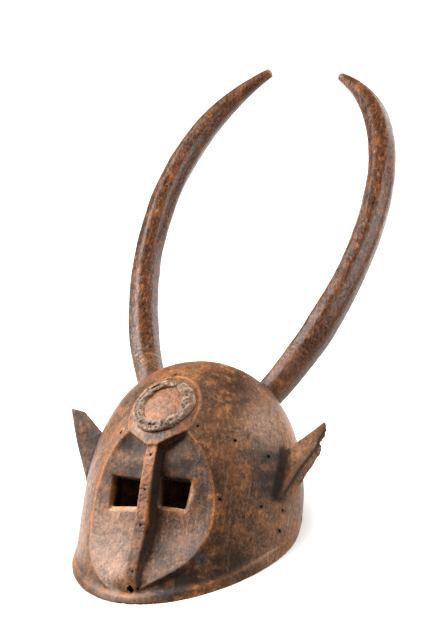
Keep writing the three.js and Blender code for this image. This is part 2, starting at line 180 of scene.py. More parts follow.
# The sloping face. Its places are (across, up the slope from the chin, out of it).
leafTop = [[79, 88], [77, 116], [70, 140], [58, 162], [39, 182], [26, 196]]     # the same on both sides
face = dict(
    chin=(0, -145, 10), slopeDeg=51,
    leafRight=[[2, -4], [12, 2], [37, 16], [59, 33], [73, 58], *leafTop],
    leafLeft=[[10, -4], [31, 1], [48, 13], [63, 29], [75, 50], *leafTop],
    depthAtNose=[[0.5, -3], [2, 8], [4, 18], [8, 32], [12.5, 48], [15, 66], [15, 120], [12, 150], [9, 182],
                 [8, 196]],
    hollow=1.5,
    muzzleRise=[[0, -4], [5, 3], [8.6, 13], [7.4, 34], [3.2, 53], [0.8, 70], [0, 85]],
    muzzleEdgeShare=0.55, muzzleTop=85, muzzleWidth=80,
    searchOut=(-110.0, 60.0), searchSteps=22,     # where the dome's surface is looked for
)

noseBar = dict(
    widthTop=14, widthChin=15, acrossTop=0.8, acrossChin=1, start=0, proud=0.4, depth=30, underPlate=8,
)

plate = dict(
    halfWidth=45, corner=38.5, cornerUp=181, middleUp=208, topUp=250, tipUp=163, proud=1.8, reach=(-60, 40),
)

upSlope = np.array([0, math.cos(math.radians(face["slopeDeg"])), math.sin(math.radians(face["slopeDeg"]))])
outOfFace = np.array([0, -upSlope[2], upSlope[1]])


def facePoint(across, up, out):
    across, up, out = np.broadcast_arrays(*(np.asarray(a, float)[..., None] for a in (across, up, out)))
    return np.array(face["chin"]) + across * [1, 0, 0] + up * upSlope + out * outOfFace


def facePlace(points):
    away = points - face["chin"]
    return away[..., 0], away @ upSlope, away @ outOfFace


def surfaceOut(across, up):
    across, up = np.broadcast_arrays(np.asarray(across, float), np.asarray(up, float))
    low, high = (np.full(across.shape, end) for end in face["searchOut"])
    for _ in range(face["searchSteps"]):
        middle = (low + high) / 2
        points = facePoint(across, up, middle)
        underRim = np.hypot((points[..., 0] - helmet["rimLean"]) / helmet["rimHalfWidth"],
                            (points[..., 1] - helmet["rimMiddle"]) / (helmet["rimFront"] + helmet["rimMiddle"])) < 1
        inside = np.where(points[..., 2] <= 0, underRim, isInside(outerShell, points))
        low, high = np.where(inside, middle, low), np.where(inside, high, middle)
    return low


def noseOut(up):
    return surfaceOut(np.zeros_like(up), up) + readAlong(face["muzzleRise"], up)


def leafEdge(side, up):
    return side * np.where(side < 0, readAlong(face["leafLeft"], up), readAlong(face["leafRight"], up))


def leafEdgeOut(side, up):
    return surfaceOut(leafEdge(side, up), up) + face["muzzleEdgeShare"] * readAlong(face["muzzleRise"], up)


def barSpan(up):  # the nose bar's left and right edges
    share = (up - noseBar["start"]) / (plate["tipUp"] - noseBar["start"])
    across = noseBar["acrossChin"] + (noseBar["acrossTop"] - noseBar["acrossChin"]) * share
    half = (noseBar["widthChin"] + (noseBar["widthTop"] - noseBar["widthChin"]) * share) / 2
    return across - half, across + half


def fillIn(starts, ends, count):  # points along every edge
    share = np.linspace(0, 1, count, endpoint=False)[:, None]
    return np.concatenate([a + (b - a) * share for a, b in zip(starts, ends)])


def toRow(points):
    return (np.asarray(points, float) - [0, helmet["originBehindRim"], 0]) / 1000


def fromRow(points):
    return np.asarray(points, float) * 1000 + [0, helmet["originBehindRim"], 0]


def addObject(name, data):
    made = bpy.data.objects.new(name, data)
    bpy.context.scene.collection.objects.link(made)
    return made


def meshOf(name, points, faces):
    mesh = bpy.data.meshes.new(name)
    mesh.from_pydata(toRow(points).tolist(), [], faces)
    return addObject(name, mesh)


# A closed solid through a stack of rings, turned so that its faces point out.
def solidThrough(name, rings, first=None, last=None):
    rings = np.asarray(rings, float)
    count, sides = rings.shape[:2]
    ends = [rings[0].mean(0) if first is None else first, rings[-1].mean(0) if last is None else last]
    points = np.concatenate([rings.reshape(-1, 3), ends])
    faces = []
    for i in range(sides):
        j = (i + 1) % sides
        faces += [(r * sides + i, r * sides + j, (r + 1) * sides + j, (r + 1) * sides + i)
                  for r in range(count - 1)]
        faces += [(count * sides, j, i), (count * sides + 1, (count - 1) * sides + i, (count - 1) * sides + j)]
    corners = np.array([f[:3] for f in faces] + [(f[0], f[2], f[3]) for f in faces if len(f) == 4])
    a, b, c = (points[corners[:, k]] for k in range(3))
    if np.einsum("ij,ij->", a, np.cross(b, c)) < 0:
        faces = [f[::-1] for f in faces]
    return meshOf(name, points, faces)


def shellSolid(name, shell, sides, levels, bottom=0):
    z = shell["height"] * np.sin(np.pi / 2 * np.arange(levels) / levels)
    if bottom < 0:
        z = np.concatenate([[bottom], z])
    crown = [helmet["crownLean"], helmet["crownBack"], shell["height"]]
    return solidThrough(name, ringsOf(shell, z, sides), last=crown)


def faceBlock(name, start, end, stations, sectionAt):
    up = np.linspace(start, end, stations)
    across, out = sectionAt(up)
    return solidThrough(name, facePoint(across, up[:, None], out))


def muzzle():
    step = np.linspace(-1, 1, 61)

    def sectionAt(up):
        side = np.where(step < 0, -1, 1)
        across = np.abs(step) * leafEdge(side, up[:, None])
        share = 1 + (face["muzzleEdgeShare"] - 1) * np.abs(step)
        out = surfaceOut(across, up[:, None]) + share * readAlong(face["muzzleRise"], up)[:, None]
        return (np.column_stack([across, leafEdge(1, up) + 3, leafEdge(-1, up) - 3]),
                np.column_stack([out, leafEdgeOut(1, up) - 12, leafEdgeOut(-1, up) - 12]))

    return faceBlock("muzzle", -3, face["muzzleTop"], 60, sectionAt)


# The leaf's two hollow floors run from its edges down to the foot of the nose bar.
def leafFloor(side, part, up):
    foot = noseOut(up) - readAlong(face["depthAtNose"], up)
    return foot + (leafEdgeOut(side, up) - foot) * part - 4 * face["hollow"] * part * (1 - part)


def leafCutter():
    beyondEdge, clearOut = 1.12, 40
    step = np.concatenate([[-beyondEdge], np.linspace(-1, 1, 61), [beyondEdge]])

    def sectionAt(up):
        part, side = np.abs(step), np.where(step < 0, -1, 1)
        floor = leafFloor(side, part, up[:, None] + 0 * step)
        across = part * leafEdge(side, up[:, None])
        clear = np.full(len(up), clearOut)
        return (np.column_stack([across, across[:, -1], across[:, 0]]),
                np.column_stack([floor, clear, clear]))

    return faceBlock("leaf cutter", face["leafRight"][0][1], face["leafRight"][-1][1], 110, sectionAt)


def noseBarSolid():
    def sectionAt(up):
        left, right = barSpan(up)
        top = noseOut(up) + noseBar["proud"]
        low = top - noseBar["depth"]
        return np.column_stack([left, left, right, right]), np.column_stack([low, top, top, low])

    return faceBlock("nose bar", noseBar["start"], plate["tipUp"] + noseBar["underPlate"], 60, sectionAt)


def plateOutline():
    fall = math.acos(plate["corner"] / plate["halfWidth"])
    down = (plate["middleUp"] - plate["cornerUp"]) / math.sin(fall)
    turn = np.concatenate([np.linspace(-fall, 0, 8), np.linspace(0, math.pi, 60)[1:-1],
                           np.linspace(math.pi, math.pi + fall, 8)])
    radius = np.where(np.sin(turn) < 0, down, plate["topUp"] - plate["middleUp"])
    across, up = plate["halfWidth"] * np.cos(turn), plate["middleUp"] + radius * np.sin(turn)
    half = noseBar["widthTop"] / 2
    return np.array([(half, plate["tipUp"]), *zip(across, up), (-half, plate["tipUp"])])


def plateSolid():
    across, up = plateOutline().T
    prism = solidThrough("plate", [facePoint(across, up, out) for out in plate["reach"]])
    raised = shellSolid("raised", makeShell(**outerSides, top=helmet["height"], grow=plate["proud"]), 200, 70)
    return combine(prism, [("INTERSECT", raised)])


def rimBandSolid():  # stands out at the front, dies away towards the sides, with a ledge under the chin
    turn = circle(helmet["sides"], 0.5)
    across, frontness = helmet["rimHalfWidth"] * np.cos(turn), -np.sin(turn)
    fade = smoothStep(frontness, *rimBand["fade"])
    proud = rimBand["proudBack"] + (rimBand["proudFront"] - rimBand["proudBack"]) * fade
    edge = readAlong(rimBand["edge"], across)
    ledge = rimBand["chinLedge"] * np.exp(-(across / rimBand["chinLedgeWidth"])**2) * (frontness > 0)
    top = edge + rimBand["slant"] + ledge
    z = np.array([0 * edge, 2 + 0 * edge, edge - rimBand["slant"], top, top + 1])
    share, inset = np.array([[0.75, 0], [1, 0], [1, 0], [0.2, 0], [0, -3]]).T[:, :, None]
    return solidThrough("rim band", ringsOf(outerShell, z, helmet["sides"], share * proud + inset))


eyes = dict(
    left=dict(corners=[(-12.5, 97), (-55, 97.5), (-54, 131), (-12.5, 126)], bevel=3, jamb=3, sill=6, depth=4),
    right=dict(corners=[(10, 99), (41, 95.5), (45.5, 126.5), (10, 129)], bevel=4, jamb=10, sill=4, depth=6),
)
cutter = dict(front=20, back=60)     # how far it runs past the wood


def eyeCutter(eye):  # straight in, with the sill and the outer jamb cut back at a slant
    corners = np.array(eye["corners"])
    side = np.sign(corners[1, 0])
    share = np.linspace(0, 1, 12, endpoint=False)
    outline = fillIn(corners, np.roll(corners, -1, 0), len(share))
    swell = np.sin(np.pi * share**1.5)
    spreadAcross = np.concatenate([share, 1 + 0 * swell, 1 - share, 0 * share])
    bulge = np.concatenate([0 * share, swell, 0 * share, 0 * share])
    spreadUp = np.concatenate([-1 + 0 * share, -1 + 1.4 * share, 0.4 + 0 * share, 0.4 - 1.4 * share])

    def opening(out, widen):
        across = outline[:, 0] + side * widen * (spreadAcross * eye["bevel"] + bulge * (eye["jamb"] - eye["bevel"]))
        up = outline[:, 1] + widen * spreadUp * np.where(spreadUp < 0, eye["sill"], eye["bevel"])
        part = np.clip(across / leafEdge(side, up), 0, 1)
        return facePoint(across, up, leafFloor(side, part, up) + out)

    depth, front = eye["depth"], cutter["front"]
    return solidThrough("eye", [opening(front, 1 + front / depth), opening(0, 1), opening(-depth, 0),
                                opening(-cutter["back"], 0)])


chinHole = dict(diameter=6.6, tall=1.3, across=0.8, height=12.9, front=16, depth=52, notchDepth=8,
                notch=[(-9.5, 0.4), (-2.5, 1.3), (2.5, 1.3), (10, 0.6), (2.5, -0.9), (-2.5, -0.9)])


def chinHoleCutters():  # a round hole between two small knife cuts
    turn = circle(24)
    x, y, z = face["chin"][0] + chinHole["across"], face["chin"][1], chinHole["height"]
    oval = np.column_stack([np.cos(turn), 0 * turn, chinHole["tall"] * np.sin(turn)])
    ring = chinHole["diameter"] / 2 * oval + [x, y, z]
    notch = np.array([(x + across, y, z + up) for across, up in chinHole["notch"]])
    front = [0, chinHole["front"], 0]
    return [solidThrough("chin hole", [ring - front, ring + [0, chinHole["depth"], 0]]),
            solidThrough("chin notch", [notch - front, notch + [0, chinHole["notchDepth"], 0]])]


horn = dict(
    root=(61, 85, 117), rootLean=3, lowPull=(152.5, 188, 185.5), highPull=(208.5, 413, 336), tip=(50, 506, 393),
    tipUneven=(0, -2, -6),
    diameters=[[33, 0], [36, 0.12], [38, 0.22], [35.5, 0.4], [34, 0.7], [32.5, 0.78], [28.5, 0.85], [21.5, 0.92],
               [11, 1]],
    rings=220, sides=48, facets=7, facetDepth=0.022, facetTwist=2, endRound=0.35,
    near=4, nearSteps=90, blend=(9.0, 16.0),     # mm from the surface, stations where its colour begins
)


def hornLine(side, steps):
    ends = np.array([horn[k] for k in ("root", "lowPull", "highPull", "tip")]) * [side, 1, 1]
    ends[0] += [horn["rootLean"], 0, 0]
    ends[3] += side * np.array(horn["tipUneven"])
    fine = bezier(ends, helmet["curveSteps"])
    walked = np.concatenate([[0], np.cumsum(np.linalg.norm(np.diff(fine, axis=0), axis=1))])
    share = np.linspace(0, 1, steps)
    line = np.column_stack([np.interp(share * walked[-1], walked, fine[:, k]) for k in range(3)])
    return line, share, walked[-1]


def hornSolid(side):
    line, share, _ = hornLine(side, horn["rings"])
    way = unit(np.gradient(line, axis=0))
    across = unit(np.cross(way, [0.0, 0, 1]))
    other = np.cross(way, across)
    radius = readAlong(horn["diameters"], share) / 2
    turn = circle(horn["sides"])
    facetTurn = horn["facets"] * turn + horn["facetTwist"] * side * share[:, None]
    facets = 1 + horn["facetDepth"] * (np.cos(facetTurn) - 0.4)
    rings = line[:, None] + (radius[:, None] * facets)[..., None] * (
        across[:, None] * np.cos(turn)[:, None] + other[:, None] * np.sin(turn)[:, None])
    return solidThrough("horn", rings, last=line[-1] + way[-1] * horn["endRound"] * radius[-1])


ears = dict(
    right=dict(low=(129.7, -17.4, 62.5), rootTop=(129.4, 22.2, 99), outerTip=(164, 64, 114.5),
               innerTip=(163, 64, 115.2), bow=0),
    left=dict(low=(-125, -2, 60), rootTop=(-117, 44, 102.5), outerTip=(-166, 60, 131), innerTip=(-148, 60, 126.5),
              bow=2.5),
    thicknessWayLow=(0.3, 0.3, -0.9), thicknessWay=(0.27, 0.49, -0.82),
    thickness=[[15, 0], [19, 0.2], [21.5, 0.62], [20.5, 0.75], [14, 0.81], [12.5, 0.9], [8.5, 0.95], [4, 1]],
    groove=4.5, hollow=1, hollowShare=0.5, buried=12, buriedReach=1.3, innerTipThickness=3, stations=70,
)


# From the low end to the tip: front ridge, groove, back ridge, inner back, inner front and scoop.
def earCorners(ear):
    low, root, outer, inner = (np.array(ear[k], float) for k in ("low", "rootTop", "outerTip", "innerTip"))
    side = np.sign(low[0])
    onSide = np.array([side, 1, 1])
    thickLow, thickHigh = (unit(np.array(ears[k])) * onSide for k in ("thicknessWayLow", "thicknessWay"))
    axis = unit(outer - low)
    inward = unit(np.array([-side, 0, 0]) + axis * side * axis[0])
    buriedLow, buriedTop = low + inward * ears["buried"], inner + (root - inner) * ears["buriedReach"]
    along = np.linspace(0, 1, ears["stations"])[:, None]
    thick = thickLow + (thickHigh - thickLow) * np.minimum(1, along * 2)
    front = low + (outer - low) * along - inward * ear["bow"] * np.sin(np.pi * along)
    thickness = readAlong(ears["thickness"], along)
    back = front + thick * thickness
    free = np.maximum(0, along * 2 - 1)
    innerFront = np.where(along < 0.5, buriedLow + (buriedTop - buriedLow) * along * 2,
                          buriedTop + (inner - buriedTop) * free)
    innerBack = innerFront + thick * (thickness + (ears["innerTipThickness"] - thickness) * free)
    grooveAt = front + (back - front) * (0.5 + 0.1 * along)
    groove = grooveAt + inward * ears["groove"] * np.sin(np.pi * np.minimum(1, along + 0.1))
    scoop = front + (innerFront - front) * ears["hollowShare"] + thick * ears["hollow"] * np.sin(np.pi * along)
    return np.stack([front, groove, back, innerBack, innerFront, scoop], 1)


def earSolid(ear):
    corners = earCorners(ear)
    share = np.linspace(0, 1, 6, endpoint=False)[:, None]
    edges = [corners[:, i, None] + (corners[:, (i + 1) % 6, None] - corners[:, i, None]) * share for i in range(6)]
    return solidThrough("ear", np.concatenate(edges, 1))


# Joins and cuts a solid by others in turn, and bakes the result.
def combine(body, steps):
    for i, (how, tool) in enumerate(steps):
        step = body.modifiers.new(f"{how} {i}", "BOOLEAN")
        step.operation, step.solver, step.object = how, "MANIFOLD", tool
    bake(body)
    for _, tool in steps:
        bpy.data.objects.remove(tool)
    return body


def bake(body):
    graph = bpy.context.evaluated_depsgraph_get()
    baked = bpy.data.meshes.new_from_object(body.evaluated_get(graph))
    body.modifiers.clear()
    body.data = baked
    return body


def readVectors(vectors, field):
    flat = np.empty(len(vectors) * 3, np.float32)
    vectors.foreach_get(field, flat)
    return flat.reshape(-1, 3).astype(float)


def readPoints(body):
    return fromRow(readVectors(body.data.vertices, "co"))


def readNormals(body):
    return readVectors(body.data.vertex_normals, "vector")


def writePoints(body, points):
    body.data.vertices.foreach_set("co", toRow(points).astype(np.float32).ravel())
    body.data.update()


class Neighbours:  # the mean of each point's neighbours
    def __init__(self, body):
        ends = np.empty(len(body.data.edges) * 2, np.int32)
        body.data.edges.foreach_get("vertices", ends)
        self.a, self.b = ends.reshape(-1, 2).T
        self.count = len(body.data.vertices)
        self.degree = np.maximum(np.bincount(ends, minlength=self.count), 1)

    def mean(self, values):
        columns = values.reshape(self.count, -1).T
        sums = [np.bincount(self.a, c[self.b], self.count) + np.bincount(self.b, c[self.a], self.count)
                for c in columns]
        return (np.array(sums) / self.degree).T.reshape(values.shape)

    def smooth(self, values, times, share=0.5):
        for _ in range(times):
            values = values + share * (self.mean(values) - values)
        return values


# How far a surface stands out of its surroundings, in mm: edges above 0, creases below.
def standOut(points, normals, near, times):
    return np.einsum("ij,ij->i", points - near.smooth(points, times), normals)


def onFront(points):
    across, up, out = facePlace(points)
    rise = np.where(np.abs(across) < face["muzzleWidth"], readAlong(face["muzzleRise"], up), 0)
    return across, up, out, out - (surfaceOut(across, up) + rise)


def nearHorns(points):  # 1 on the horns, 0 on the helmet, and the way along them
    share = np.zeros(len(points))
    walk = np.zeros(len(points))
    for side in (-1, 1):
        line, along, length = hornLine(side, horn["nearSteps"])
        radius = readAlong(horn["diameters"], along) / 2
        away = np.linalg.norm(points[:, None] - line, axis=2) - radius
        nearest = away.argmin(1)
        hit = (away.min(1) < horn["near"]) & (nearest > horn["blend"][0] - 1)
        share = np.where(hit, smoothStep(nearest, *horn["blend"]), share)
        walk = np.where(hit, nearest / (horn["nearSteps"] - 1) * length, walk)
    return share, walk


carving = dict(
    voxel=1.1,          # mm, the grain of the carved surface
    roundEdges=1,        # passes that wear the edges round
    waves=[(34, 0.5, 3), (15, 0.26, 4), (7, 0.13, 5)],      # size, height, seed: left by the adze and the knife
    insideWaves=[(22, 0.9, 6), (11, 0.5, 7)],
    chipDepth=0.5, chipSize=4, chipNoise=(0.25, 0.7), chipEdge=(0.25, 0.9), chipReach=127,
    barPits=0.4, barPitSize=2.8, pitNoise=(0.2, 0.75),
    clear=0.05,          # mm, kept from the part's outer box
    triangles=188000,
)


def carveSurface(body):
    near = Neighbours(body)
    points = near.smooth(readPoints(body), carving["roundEdges"])
    writePoints(body, points)
    normals = readNormals(body)
    edge = standOut(points, normals, near, 8)
    across, up, out, proud = onFront(points)
    inside = isInside(innerShell, points - normals * 3) | isInside(innerShell, points + normals * 3)
    outer, inner = (sum(height * noiseAt(points, size, seed) for size, height, seed in carving[k])
                    for k in ("waves", "insideWaves"))
    shift = np.where(inside, inner, outer)
    chips = smoothStep(noiseAt(points, carving["chipSize"], 11), *carving["chipNoise"])
    chips = chips * (np.abs(points[:, 0]) < carving["chipReach"])
    shift -= carving["chipDepth"] * chips * smoothStep(edge, *carving["chipEdge"])
    left, right = barSpan(up)
    onBar = (across > left - 1) & (across < right + 1) & (proud > -2) & (up < plate["tipUp"])
    pits = smoothStep(noiseAt(points, carving["barPitSize"], 12), *carving["pitNoise"])
    shift -= np.where(onBar, carving["barPits"] * pits, 0)
    lowest, highest = fromRow(cadLow) + carving["clear"], fromRow(cadHigh) - carving["clear"]
    writePoints(body, np.clip(points + normals * shift[:, None], lowest, highest))


pinHoles = dict(  # across, up the face
    places=[(-4, 253), (-52, 180), (49, 188), (89, 176), (119, 164), (84, 108), (119, 107), (133, 108)],
    diameter=2.7, depth=12,
    barPlaces=[(1.4, 152), (1.5, 112), (1.8, 72), (2.4, 20)], barDiameter=2.2,
    slot=(132, 85), slotWidth=2.4, slotLength=6,
)


def surfaceNormal(across, up):
    step = 1.0     # mm
    here, right, above = (facePoint(a, u, surfaceOut(a, u))
                          for a, u in ((across, up), (across + step, up), (across, up + step)))
    return here, unit(np.cross(right - here, above - here))


def drill(place, normal, diameter, stretch=1.0):
    side = unit(np.cross(normal, [0, 0, 1.0]))
    tall = np.cross(side, normal)
    turn = circle(14)
    ring = diameter / 2 * (side * np.cos(turn)[:, None] + stretch * tall * np.sin(turn)[:, None])
    return solidThrough("drill", [place + normal * 4 + ring * 1.15, place - normal * pinHoles["depth"] + ring * 0.7])


def drills():
    made = [drill(*surfaceNormal(*place), pinHoles["diameter"]) for place in pinHoles["places"]]
    for across, up in pinHoles["barPlaces"]:
        top = facePoint(across, up, noseOut(np.array(float(up))))
        made.append(drill(top, outOfFace, pinHoles["barDiameter"]))
    stretch = pinHoles["slotLength"] / pinHoles["slotWidth"]
    return [*made, drill(*surfaceNormal(*pinHoles["slot"]), pinHoles["slotWidth"], stretch)]


def carvedMask():
    table = solidThrough("table", [[(-400, -400, z), (400, -400, z), (400, 700, z), (-400, 700, z)]
                                   for z in (-60, 0)])
    body = shellSolid("carved_mask_wood", outerShell, helmet["sides"], helmet["levels"])
    join, cut = "UNION", "DIFFERENCE"
    combine(body, [
        (join, muzzle()), (join, rimBandSolid()), (cut, leafCutter()), (join, plateSolid()), (join, noseBarSolid()),
        (join, hornSolid(-1)), (join, hornSolid(1)), (join, earSolid(ears["left"])), (join, earSolid(ears["right"])),
        (cut, shellSolid("hollow", innerShell, 160, 60, -5)), *((cut, eyeCutter(eye)) for eye in eyes.values()),
        (cut, table)])
    print("joined", len(body.data.polygons))
    remesh = body.modifiers.new("even", "REMESH")
    remesh.mode, remesh.voxel_size, remesh.adaptivity = "VOXEL", carving["voxel"] / 1000, 0
    bake(body)
    print("remeshed", len(body.data.polygons))
    carveSurface(body)
    fewer = body.modifiers.new("fewer", "DECIMATE")
    fewer.ratio = carving["triangles"] / (2 * len(body.data.polygons))
    bake(body)
    combine(body, [(cut, tool) for tool in drills() + chinHoleCutters()])
    print("carved", len(body.data.polygons))
    return body


def addAttribute(body, name, values):
    kind = "FLOAT" if values.ndim == 1 else "FLOAT_VECTOR"
    made = body.data.attributes.new(name, kind, "POINT")
    made.data.foreach_set("value" if values.ndim == 1 else "vector", values.astype(np.float32).ravel())


# Places darkened by real stains and by painted shade, lightened by rubbing and by painted highlights, and one bluish
# stain: (across, up, radius, strength).
stainsRubbingAndPaintedLight = dict(
    stainAndShade=[(122, 150, 10, 1), (121, 138, 10, 1), (123, 162, 9, 0.9), (124, 126, 8, 0.8),
           (36, 133, 13, 0.9), (18, 131, 11, 0.8), (62, 116, 9, 0.7), (20, 112, 9, 0.8),
           (-59, 128, 9, 0.75), (-62, 108, 8, 0.4), (-28, 137, 13, 0.65), (-41, 168, 12, 0.8), (-20, 160, 10, 0.4),
           (68, 154, 15, 0.55), (75, 132, 13, 0.5), (88, 118, 12, 0.4), (52, 172, 10, 0.4),
           (70, 40, 26, 0.7), (93, 30, 24, 0.5), (112, 48, 16, 0.4), (45, 14, 20, 0.6),
           (36, 252, 17, 0.5), (66, 250, 16, 0.6), (88, 226, 12, 0.4), (60, 215, 34, 0.55), (38, 147, 22, 0.6),
           (30, 120, 20, 0.3), (0, 110, 14, 0.4), (0, 70, 14, 0.6), (0, 40, 18, 0.8), (3, 12, 12, 0.6),
           (-150, 193, 40, 1.0), (-30, 150, 22, 0.7), (118, 170, 16, 0.4),
           (-75, 12, 16, 0.6), (-91, 24, 14, 0.5), (-53, 0, 16, 0.5),
           (32, 3, 12, 0.9), (50, 12, 13, 0.9), (48, -6, 13, 0.7), (74, 26, 16, 0.5), (12, -13, 10, 0.6)],
    rubbedAndHighlight=[(-40, 50, 30, 0.5), (-20, 182, 12, 0.9), (-58, 80, 20, 0.5), (-30, 20, 20, 0.7),
            (-30, 110, 16, 0.5), (-28, 150, 16, 0.4), (44, 62, 22, 0.3), (-100, 60, 40, 0.4), (-75, 150, 30, 0.4),
            (112, 203, 26, 0.9), (122, 92, 26, 0.35), (152, 177, 24, 1.0), (128, 52, 16, 0.8), (1, -5, 9, 1.0)],
    blue=[(72, 41, 5, 1.0)],
)


def fromLine(points, start, end):
    start, way = np.array(start, float), np.subtract(end, start)
    share = np.clip((points - start) @ way / (way @ way), 0, 1)
    return np.linalg.norm(points - start - share[:, None] * way, axis=1)


def nearestPlace(across, up, places):
    return np.hypot(across[:, None] - places[:, 0], up[:, None] - places[:, 1]).min(1)


# Where the marks of use, the painted shade and the painted highlights begin and end, in mm, and how strong they are.
marksAndPaintedLight = dict(
    edge=0.55, outline=(0.6, 2.4), outlineWear=0.8, outlineDepth=4,
    band=1.1, bandWearAndHighlight=0.6, bandReach=12, bandDarker=(-1.8, -0.8), bandDarkerEnd=(30, 80), bandDarkerShare=0.55,
    plateEdge=(0.8, 2.2), plateWear=0.9, plateInside=(0.75, 1.1), plateMiddle=(-1, 211), plateOval=(30, 25),
    # the dark inside the pin holes is painted shade
    aroundPin=(2.5, 5.0), inPin=(1.4, 2.4), inPinShade=0.8,
    eyeFrom=(0.3, 1.2), eyeTo=(5.5, 8), eyeChipped=0.55, eyeDeep=(5, 10), eyeDeepShade=0.9,
    # creases and hollows: painted shade, partly real grime
    creaseDirtAndShade=(0.5, 0.6), hollow=(4, 0.35, 0.5),
    besideBar=(0.5, 4), besideBarFade=(20, 90), besideBarShade=(0.5, 0.35),
    earRoot=(3, 10), earRootDirtAndShade=0.85, earGroove=(1, 4), earGrooveDarker=0.8,
    barWear=(0.35, 0.65), barWearFade=(50, 150), barRim=0.8, barDepth=1.6,
    outside=45, insideDepth=4,
)


def wearAndEdgeHighlightMask(points, normals, fine, across, up, below, proud):
    t = marksAndPaintedLight
    side = np.where(across < 0, -1, 1)
    outline = np.abs(np.abs(across) - np.abs(leafEdge(side, up)))
    onOutline = fadeOut(outline, *t["outline"]) * (np.abs(below) < t["outlineDepth"])
    onOutline = onOutline * (up > 0) * (up < face["leafRight"][-1][1])
    overBand = points[:, 2] - readAlong(rimBand["edge"], points[:, 0])
    onBand = (np.abs(overBand) < t["band"]) * (normals[:, 1] < 0.3) * (np.abs(proud) < t["bandReach"])
    border = plateOutline()
    border = fillIn(border[:-1], border[1:], 4)
    onPlate = fadeOut(nearestPlace(across, up, border), *t["plateEdge"]) * (proud > -0.5) * (up > plate["tipUp"])
    # Worn edges; along the rim band's top edge the pale is also a painted highlight.
    wearAndEdgeHighlight = [np.clip(fine / t["edge"], 0, 1), onOutline * t["outlineWear"], onBand * t["bandWearAndHighlight"],
            onPlate * t["plateWear"]]
    return np.max(wearAndEdgeHighlight, axis=0), overBand


def eyeMasks(across, up, below):  # the cut-back sills and jambs, painted ochre and pale, the pale partly a painted highlight, and the painted shade deep behind them
    t = marksAndPaintedLight
    bevel, deepShade = np.zeros(len(across)), np.zeros(len(across))
    for eye in eyes.values():
        (left, right), (bottom, top) = np.sort(np.array(eye["corners"]).T)[:, [0, -1]]
        inEye = (across > left - 12) & (across < right + 12) & (up > bottom - 9) & (up < top + 5) & (below < 60)
        cutBack = (up < bottom + 1.5) | (across > right - 1) & (left > 0)
        chipped = t["eyeChipped"] * (across < left + 2)
        shown = smoothStep(below, *t["eyeFrom"]) * fadeOut(below, *t["eyeTo"])
        bevel = np.maximum(bevel, inEye * np.maximum(cutBack, chipped) * shown)
        deepShade = np.maximum(deepShade, inEye * smoothStep(below, *t["eyeDeep"]))
    return bevel, deepShade


# Painted shade, partly real grime: near-black in creases and hollows, inside the pin holes and the chin hole, beside
# the nose bar, along the ear roots and deep in the eyes.
def creaseDirtAndShadeMask(points, fine, broad, across, up, below, proud, fromPins):
    t = marksAndPaintedLight
    depth, share = t["creaseDirtAndShade"]
    wide, wideFrom, wideShare = t["hollow"]
    creaseDirtAndShade = np.clip(-fine / depth, 0, 1) * share + np.clip(-broad / wide - wideFrom, 0, 1) * wideShare
    inPins = fadeOut(fromPins, *t["inPin"]) * t["inPinShade"]
    creaseDirtAndShade = np.maximum(creaseDirtAndShade * smoothStep(fromPins, *t["aroundPin"]), inPins)
    # Painted shadow of the nose bar on the leaf floor to its right, weaker towards the chin.
    beside = across - barSpan(up)[1]
    onBarSide = (up > 4) & (up < plate["tipUp"]) & (beside > -1) & (proud < -1) & (below > -14)     # the right one
    low, more = t["besideBarShade"]
    shade = onBarSide * fadeOut(beside, *t["besideBar"]) * (low + more * smoothStep(up, *t["besideBarFade"]))
    # painted shade inside the chin hole and its notch
    fromHole, above = points[:, 0] - chinHole["across"], points[:, 2] - chinHole["height"]
    behind = points[:, 1] - face["chin"][1]
    inHole = (np.hypot(fromHole, above / chinHole["tall"]) < chinHole["diameter"] / 2 + 0.3) & (behind < 60)
    inNotch = (np.abs(fromHole) < 10) & (np.abs(above) < 1.6) & (proud < -0.4) & (behind < 12)
    creaseDirtAndShade = np.max([creaseDirtAndShade, shade, inHole | inNotch], axis=0)
    # Along each ear's root painted shade mixed with real grime, and darker in each ear's groove.
    for ear in (ears["right"], ears["left"]):
        toRoot = fromLine(points, ear["low"], ear["rootTop"])
        toGroove = np.linalg.norm(points[:, None] - earCorners(ear)[:, 1], axis=2).min(1)
        creaseDirtAndShade = np.max([creaseDirtAndShade, t["earRootDirtAndShade"] * fadeOut(toRoot, *t["earRoot"]),
                         t["earGrooveDarker"] * fadeOut(toGroove, *t["earGroove"])], axis=0)
    return creaseDirtAndShade


